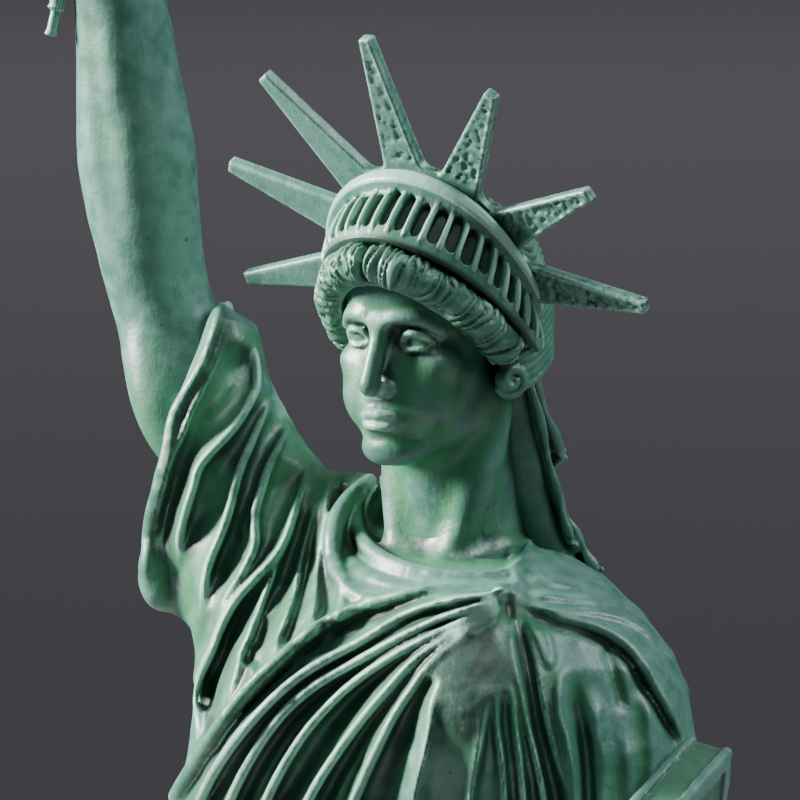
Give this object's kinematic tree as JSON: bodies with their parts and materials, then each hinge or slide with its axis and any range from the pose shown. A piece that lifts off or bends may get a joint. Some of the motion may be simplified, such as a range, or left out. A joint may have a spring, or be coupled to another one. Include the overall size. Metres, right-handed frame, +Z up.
{
  "type": "miniature landmark model",
  "caption": "Small resin model of a robed, crowned torch bearer with a raised arm and a tablet, on a square stepped pedestal with a felt underside; stands on a shelf as a souvenir.",
  "frame": {"origin": "centre of the felt underside that the model stands on", "axes": "+Z up, the figure faces -Y, and the side of the tablet is +X"},
  "size_m": [0.104, 0.104, 0.3051],
  "materials": {
    "patina_resin": "painted cast resin, blue-green verdigris over dark green hollows, satin",
    "patina_metal": "painted thin metal casting in the same verdigris, satin",
    "pedestal_stone": "painted cast resin, granite colour with a dark wash",
    "gilt": "aged gold paint",
    "steel": "plain zinc-plated steel",
    "brass": "turned brass",
    "felt": "dark green felt"
  },
  "bodies": {
    "root": {"felt_pad": "felt", "base_slab": "pedestal_stone", "star_fort": "pedestal_stone", "pedestal_step": "pedestal_stone", "pedestal_core": "pedestal_stone", "loggia_columns": "pedestal_stone", "pedestal_cornice": "pedestal_stone", "figure_plinth": "pedestal_stone", "robe_body": "patina_resin", "left_foot": "patina_resin", "right_foot": "patina_resin", "broken_chain": "patina_metal", "raised_arm": "patina_resin", "head": "patina_resin", "hair": "patina_resin", "diadem": "patina_resin", "ray_crown": "patina_metal", "left_forearm": "patina_resin", "tablet": "patina_resin", "torch_handle": "patina_metal", "torch_gallery": "patina_metal", "torch_flame": "gilt", "tie_rod": "steel", "rod_insert": "brass", "rod_nut": "steel", "rod_washer": "steel", "neck_dowel": "steel", "arm_dowel": "steel", "tablet_pin": "steel"}
  },
  "joints": []
}
